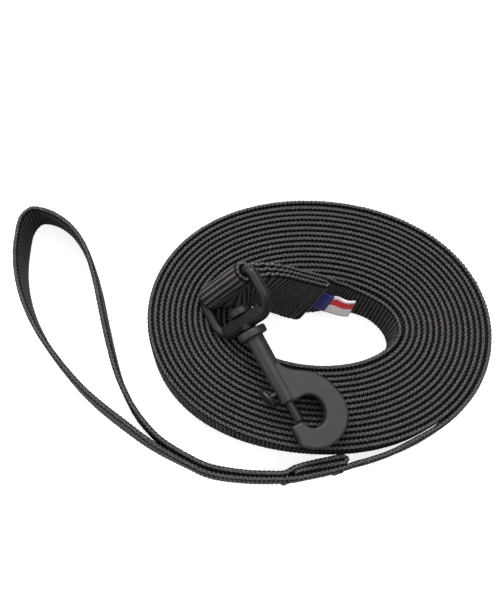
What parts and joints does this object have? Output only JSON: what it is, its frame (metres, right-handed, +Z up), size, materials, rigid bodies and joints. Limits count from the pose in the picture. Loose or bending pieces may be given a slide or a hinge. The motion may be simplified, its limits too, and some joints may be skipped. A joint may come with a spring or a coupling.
{
  "type": "training leash",
  "caption": "Long flat webbing training leash wound on edge into an oval coil, with a sewn handle loop and a swivelling bolt snap with a sliding sprung bolt.",
  "frame": {"origin": "middle of the footprint, on the surface the leash rests on", "axes": "+X from the handle loop towards the coil, +Y across the coil away from the snap's hook, +Z up, along the width of the webbing"},
  "size_m": [0.1938, 0.1184, 0.056],
  "materials": {
    "webbing": "ribbed black nylon webbing, matt",
    "thread": "black bonded thread",
    "label": "woven label",
    "snap_metal": "satin black coated casting",
    "spring_steel": "bright drawn wire"
  },
  "bodies": {
    "webbing": {"webbing_coil": "webbing", "lead_out_strap": "webbing", "handle_loop": "webbing", "handle_hem": "webbing", "handle_tack_loop_end": "thread", "handle_tack_nose_end": "thread", "riser_strap": "webbing", "clasp_strap": "webbing", "clasp_tack": "thread", "woven_label": "label"},
    "eye": {"swivel_eye": "snap_metal"},
    "snap": {"snap_body": "snap_metal", "swivel_rivet": "snap_metal", "bolt_spring": "spring_steel"},
    "slider": {"bolt": "snap_metal", "thumb_stud": "snap_metal"}
  },
  "joints": [
    {"name": "eye_swing", "type": "hinge", "parent": "webbing", "child": "eye", "pos_m": [-0.00934, 0.01521, 0.04192], "axis": [-0.5726, -0.1769, -0.8005], "range_deg": [0, 170]},
    {"name": "swivel_spin", "type": "hinge", "parent": "eye", "child": "snap", "pos_m": [0.00027, -0.00194, 0.03884], "axis": [0.4829, -0.8618, -0.155], "range_deg": [0, 180]},
    {"name": "bolt_slide", "type": "slide", "parent": "snap", "child": "slider", "axis": [-0.4829, 0.8618, 0.155], "range_m": [0, 0.0085], "stiffness_N_per_m": 400, "springref_m": -0.004, "deforming": ["bolt_spring"]}
  ]
}
